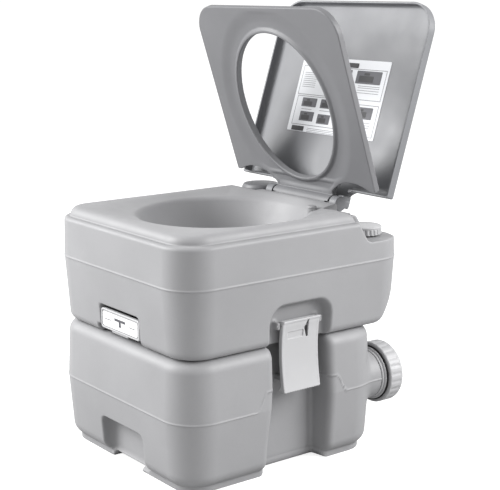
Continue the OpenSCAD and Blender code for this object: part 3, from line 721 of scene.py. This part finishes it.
def make_handle():
    xs = spaced([(-49, 0.8), (-39, 3), (-26, 1.5), (-18, 3), (18, 1.5), (26, 3), (53, 0.8), (63, None)])
    ys = spaced([(-205, 0.6), (-196, 1.5), (-182, None)])
    zs = spaced([(198, 1.2), (214, 0.8), (238, None)])
    handle = field_object("pull_handle_plate", handle_field, (xs, ys, zs))
    finish_piece(handle, "latch", "valve_slide", "pull_handle")

    def on_handle(p):
        return np.stack([p[:, 0] + FRONT_X, p[:, 2], p[:, 1]], 1)

    plates("handle_label_plate", [LABEL], 3, LABEL_FRONT, LABEL_BACK, "label", "valve_slide", on_handle,
           "handle_label")
    plates("handle_label_marks", MARKS, 0.6, LABEL_FRONT - 0.15, LABEL_FRONT + 0.02, "print", "valve_slide",
           on_handle)


# ---------- latches ----------

LATCH_HALF, LATCH_LOW, LATCH_HIGH = 34.0, 123.6, 231.0
LATCH_BORE, LATCH_BARREL_R = 3.3, 6.0
LATCH_THICK = 3.2
FACE_X, FACE_Z, UPPER_FLARE, LOWER_FLARE = 174.4, 186.0, 4.4, 6.6
TOOTH_DEPTH, TOOTH_PITCH = 0.9, 4.6  # along the lower edge
PANEL_Y, PANEL_Z, PANEL_HALF, PANEL_RISE, PANEL_DEPTH = -9.5, 208.5, 14.5, 5.2, 1.4  # the sunk field
SLOT_Y, SLOT_END, SLOT_Z, SLOT_RISE = 6.5, 14.2, 215.0, 13.6  # the arrow-shaped slot
SLOT_TIP_Z = 216.5


def latch_face(z):
    """How far out the face of a latch stands at a height."""
    over = np.clip((z - FACE_Z) / 45, 0, None) ** 2
    under = np.clip((FACE_Z - z) / 62, 0, None) ** 2
    return FACE_X + UPPER_FLARE * over + LOWER_FLARE * under


def latch_field(u, y, z):
    """A latch, with u as the distance outward from the middle of the tanks."""
    face = latch_face(z)
    teeth = TOOTH_DEPTH * (0.5 + 0.5 * np.cos(y * 2 * math.pi / TOOTH_PITCH)) * step(-z, -130, -124)
    mid_z, half_z = (LATCH_LOW + LATCH_HIGH) / 2, (LATCH_HIGH - LATCH_LOW) / 2
    edge = rounded_rect(y, z - teeth, 0, mid_z, LATCH_HALF, half_z, 2)
    body = rmax(u - face - 0.8 * step(z, 226.6, 227.8), edge, 1.1)
    lever = np.maximum(body, face - LATCH_THICK - u)
    rim = np.maximum(np.abs(np.abs(y) - LATCH_HALF + 1.5) - 1.5, np.maximum(face - 7 - u, 130 - z))
    lever = smin(lever, np.maximum(body, rim), 1)
    sunk = rounded_rect(y, z, PANEL_Y, PANEL_Z, PANEL_HALF, PANEL_RISE, 1)
    lever = smax(lever, -np.maximum(sunk, face - PANEL_DEPTH - u), 0.5)
    slot_left = SLOT_Y + np.where(z > SLOT_TIP_Z, (z - SLOT_TIP_Z) * 0.5, (SLOT_TIP_Z - z) * 0.3)
    slot = np.maximum(np.maximum(slot_left - y, y - SLOT_END), np.abs(z - SLOT_Z) - SLOT_RISE) * 0.85
    barrel = rmax(np.hypot(u - PIVOT_X, z - PIVOT_Z) - LATCH_BARREL_R, np.abs(y) - LATCH_HALF, 1)
    bridge = box_field(u, y, z, (PIVOT_X - 3, -LATCH_HALF, 218), (175.5, LATCH_HALF, 229.5), 1)
    hook = box_field(u, y, z, (164.2, -20, 126.2), (178, 20, 134.5), 1.2)
    gusset = np.maximum(165 + (z - 124) * 0.8 - u, 124.6 - z) * 0.78
    gusset = np.maximum(np.maximum(np.abs(np.abs(y) - 31.8) - 1.6, gusset), u - face + 1.5)
    shape = smin(smin(lever, smin(barrel, bridge, 2), 2), smin(hook, gusset, 1), 1)
    shape = smax(shape, -np.maximum(slot, face - 5 - u), 0.5)
    return np.maximum(shape, LATCH_BORE - np.hypot(u - PIVOT_X, z - PIVOT_Z))


def make_latches():
    """Both latches, the left one as the mirror of the right one."""
    us = spaced([(162, 1.3), (171, 0.8), (184, None)])
    ys = mirrored([(0, 1.3), (36, None)])
    zs = spaced([(122, 0.9), (137, 2.2), (198, 1.1), (233, None)])
    for name, side in (("latch_right", 1), ("latch_left", -1)):
        def field(x, y, z):
            return latch_field(side * x, y, z)

        xs = us if side > 0 else -us[::-1]
        finish_piece(field_object(name + "_lever", field, (xs, ys, zs)), "latch", name + "_body", name)


# ---------- turned parts ----------


def soften(profile, r, steps=4):
    """Rounds every corner between the ends of a profile of (radius, height) points."""
    out = [profile[0]]
    for before, here, after in zip(profile, profile[1:], profile[2:]):
        a, h, b = (np.array(v, float) for v in (before, here, after))
        cut = min(r, np.linalg.norm(a - h) * 0.48, np.linalg.norm(b - h) * 0.48)
        start, end = h + (a - h) / np.linalg.norm(a - h) * cut, h + (b - h) / np.linalg.norm(b - h) * cut
        for t in np.linspace(0, 1, steps):
            out.append(tuple((1 - t) ** 2 * start + 2 * t * (1 - t) * h + t * t * end))
    return out + [profile[-1]]


RING_GAP = 1.6
RIB_FADE = 1.2


def lathe(name, profile, centre, axis, r, count, ribs, kind, body, node):
    """A turned part. ribs is (number, depth, lowest height, highest height, least radius)."""
    profile = soften(profile, r)
    dense = [profile[0]]
    for a, b in zip(profile, profile[1:]):
        parts = max(1, int(abs(b[1] - a[1]) / RING_GAP))
        for i in range(1, parts + 1):
            dense.append((a[0] + (b[0] - a[0]) * i / parts, a[1] + (b[1] - a[1]) * i / parts))
    angles = np.linspace(0, 2 * math.pi, count, endpoint=False)
    points = []
    for radius, height in dense:
        for angle in angles:
            here = radius
            if ribs:
                number, depth, low, high, least = ribs
                if low <= height <= high and radius > least:
                    fade = step(height, low, low + RIB_FADE) * step(-height, -high, -high + RIB_FADE)
                    here -= depth * fade * (0.5 - 0.5 * math.cos(number * angle)) ** 2
            points.append((here * math.cos(angle), here * math.sin(angle), height))
    rings = len(dense)
    faces = []
    for i in range(rings - 1):
        for j in range(count):
            k = (j + 1) % count
            faces.append([i * count + j, i * count + k, (i + 1) * count + k, (i + 1) * count + j])
    closed_ring = abs(dense[0][0] - dense[-1][0]) < 1e-6 and abs(dense[0][1] - dense[-1][1]) < 1e-6
    if not closed_ring:
        faces += [list(range(count))[::-1], [(rings - 1) * count + j for j in range(count)]]
    p = np.array(points)
    if axis == "y":
        p = np.stack([p[:, 0], p[:, 2], -p[:, 1]], 1)
    obj = make_object(name, p + np.array(centre, float), faces)
    return finish_piece(obj, kind, body, node)


def make_turned_parts():
    """Caps, knob, collar and seal. Heights are above the floor, or along y for the parts of the spout."""
    fill_cap = [(0.5, 338.4), (20.4, 338.4), (20.4, 329), (25.6, 329), (26.9, 330), (26.9, 337.6),
                (26.2, 338.4), (27, 339.2), (27, 341.4), (24.5, 342.6), (0.5, 342.9)]
    lathe("fill_cap_top", fill_cap, (FILL_X, FILL_Y, 0), "z", 0.7, 288, (24, 1.5, 329.2, 338.2, 24), "cap",
          "fill_cap_body", "fill_cap")
    knob = [(0.5, 369.6), (29.6, 369.6), (29.6, 349.2), (32, 349.2), (32, 367), (31.2, 371.8), (28.6, 375.8),
            (0.5, 376.2)]
    lathe("pump_knob_top", knob, (-FILL_X, FILL_Y, 0), "z", 1.2, 96, None, "cover", "pump_plunger",
          "pump_knob")
    spout_at = (SPOUT_X, 0, SPOUT_Z)
    spout_cap = [(0.5, 199.1), (35.2, 199.1), (35.2, 174), (46.4, 174), (48, 175.6), (48, 196.5), (46.6, 200),
                 (43, 201.2), (38, 201.2), (36.6, 200.4), (0.5, 200.4)]
    lathe("spout_cap_top", spout_cap, spout_at, "y", 1.0, 384, (24, 0.9, 175.6, 196, 45), "cap",
          "spout_cap_body", "spout_cap")
    collar = [(35.05, 164.2), (38.6, 164.2), (39.4, 165.4), (39.4, 166.6), (37.8, 167.2), (37.8, 168),
              (40.6, 168.8), (41.6, 169.8), (41.6, 170.4), (40.4, 170.9), (35.05, 170.9), (35.05, 164.2)]
    lathe("spout_collar_ring", collar, spout_at, "y", 0.5, 128, None, "cap", "tanks", "spout_collar")
    seal = [(35.05, 171.1), (42, 171.1), (43.4, 171.8), (43.4, 172.7), (42, 173.4), (35.05, 173.4),
            (35.05, 171.1)]
    lathe("spout_seal_ring", seal, spout_at, "y", 0.6, 128, None, "rubber", "tanks", "spout_seal")


make_upper_tank()
make_waste_tank()
make_seat()
make_lid()
make_sheet()
make_handle()
make_latches()
make_turned_parts()

# ---------- materials of the CAD nodes that stay ----------

STAYS = {
    "dark": ("valve_housing", "pump_body", "vent_body"),
    "steel": ("housing_screws", "bracket_screws", "hinge_pins", "latch_pins"),
    "rubber": ("bowl_seal", "blade_seal", "fill_cap_seal", "pump_bellows", "spout_cap_seal", "spout_seal"),
    "white": ("valve_blade", "pump_piston", "suction_tube", "flush_pipe"),
    "label": ("handle_label",),
    "tank": ("upper_tank", "deck", "bowl", "waste_tank", "waste_base", "spout", "flush_nozzle"),
    "cover": ("pull_handle", "pump_knob", "hinge_bracket", "seat"),
    "lid": ("lid",),
    "cap": ("fill_cap", "spout_cap", "spout_collar"),
    "latch": ("latch_right", "latch_left"),
    "red": ("vent_button",),
    "paper": ("instruction_sheet",),
}
for kind, names in STAYS.items():
    for name in names:
        node = frame["nodes"][name]
        if not node.data.materials:
            node.data.materials.append(M[kind])
        for i in range(len(node.data.materials)):
            node.data.materials[i] = M[kind]

# ---------- stage, light and camera ----------

CAMERA_AZIMUTH, CAMERA_ELEVATION, CAMERA_ROLL = 52.95, 11.84, 0.33  # degrees
CAMERA_DISTANCE = 1.966  # metres, as is the target
CAMERA_TARGET = Vector((0.0022, 0.0397, 0.3057))
CAMERA_LENS = 90.5
LIGHT_TARGET = Vector((0, 0, 0.25))
LIGHT_DISTANCE, LIGHT_SIZE = 2.6, 1.6
FLOOR_HALF, FLOOR_ROWS = 14000.0, 12
FLOOR_GLOW = 0.8  # seen by the camera only
WORLD_LIGHT, WORLD_SEEN = 0.75, 1.05


def direction(azimuth, elevation):
    """The direction at an azimuth from the front towards the right, and an elevation, in degrees."""
    a, e = math.radians(azimuth), math.radians(elevation)
    return Vector((math.sin(a) * math.cos(e), -math.cos(a) * math.cos(e), math.sin(e)))


def make_camera():
    a, roll = math.radians(CAMERA_AZIMUTH), math.radians(CAMERA_ROLL)
    back = direction(CAMERA_AZIMUTH, CAMERA_ELEVATION)
    right = Vector((math.cos(a), math.sin(a), 0))
    up = back.cross(right)
    turned_right = right * math.cos(roll) - up * math.sin(roll)
    turned_up = right * math.sin(roll) + up * math.cos(roll)
    camera = bpy.data.objects.new("camera", bpy.data.cameras.new("camera"))
    camera.data.lens = CAMERA_LENS
    camera.data.sensor_width = 36
    camera.data.clip_start, camera.data.clip_end = 0.05, 60
    rotation = Matrix((turned_right, turned_up, back)).transposed()
    camera.matrix_world = Matrix.Translation(CAMERA_TARGET + back * CAMERA_DISTANCE) @ rotation.to_4x4()
    bpy.context.scene.collection.objects.link(camera)
    bpy.context.scene.camera = camera


def floor_material():
    """A matt floor that looks paler to the camera than the light it gives back."""
    n = Nodes("studio_floor")
    n.link(n.mix(n.spread(n.noise(3.0), 0.0, 1.0), (0.41, 0.41, 0.41), (0.43, 0.43, 0.43)),
           n.shader.inputs["Base Color"])
    n.shader.inputs["Roughness"].default_value = 0.9
    n.shader.inputs["Specular IOR Level"].default_value = 0.1
    glow = n.add("ShaderNodeMath", operation="MULTIPLY")
    glow.inputs[1].default_value = FLOOR_GLOW
    n.link(n.add("ShaderNodeLightPath").outputs["Is Camera Ray"], glow.inputs[0])
    n.shader.inputs["Emission Color"].default_value = (1, 1, 1, 1)
    n.link(glow.outputs[0], n.shader.inputs["Emission Strength"])
    return n.material


def make_floor():
    rows = FLOOR_ROWS
    lines = np.linspace(-FLOOR_HALF, FLOOR_HALF, rows)
    points = [(x, y, 0) for y in lines for x in lines]
    faces = [(j * rows + i, j * rows + i + 1, (j + 1) * rows + i + 1, (j + 1) * rows + i)
             for j in range(rows - 1) for i in range(rows - 1)]
    floor = make_object("studio_floor", points, faces)
    floor.data.materials.append(floor_material())


def area_light(name, azimuth, elevation, power):
    """A square soft light that looks at the middle of the object."""
    place = direction(azimuth, elevation) * LIGHT_DISTANCE
    data = bpy.data.lights.new(name, "AREA")
    data.shape = "RECTANGLE"
    data.size = data.size_y = LIGHT_SIZE
    data.energy = power
    light = bpy.data.objects.new(name, data)
    light.location = LIGHT_TARGET + place
    light.rotation_euler = (-place).to_track_quat("-Z", "Y").to_euler()
    bpy.context.scene.collection.objects.link(light)


def make_light():
    """Two soft lights and a white world, which looks brighter to the camera than the light it gives."""
    world = bpy.data.worlds.new("studio")
    world.use_nodes = True
    nodes, links = world.node_tree.nodes, world.node_tree.links
    background = nodes["Background"]
    background.inputs["Color"].default_value = (1, 1, 1, 1)
    strength = nodes.new("ShaderNodeMapRange")
    strength.inputs["To Min"].default_value = WORLD_LIGHT
    strength.inputs["To Max"].default_value = WORLD_SEEN
    links.new(nodes.new("ShaderNodeLightPath").outputs["Is Camera Ray"], strength.inputs["Value"])
    links.new(strength.outputs["Result"], background.inputs["Strength"])
    bpy.context.scene.world = world
    area_light("key_front_left", -38, 29, 120)
    area_light("side_right", 130, 29, 90)
    bpy.context.scene.view_settings.view_transform = "Standard"


make_camera()
make_floor()
make_light()
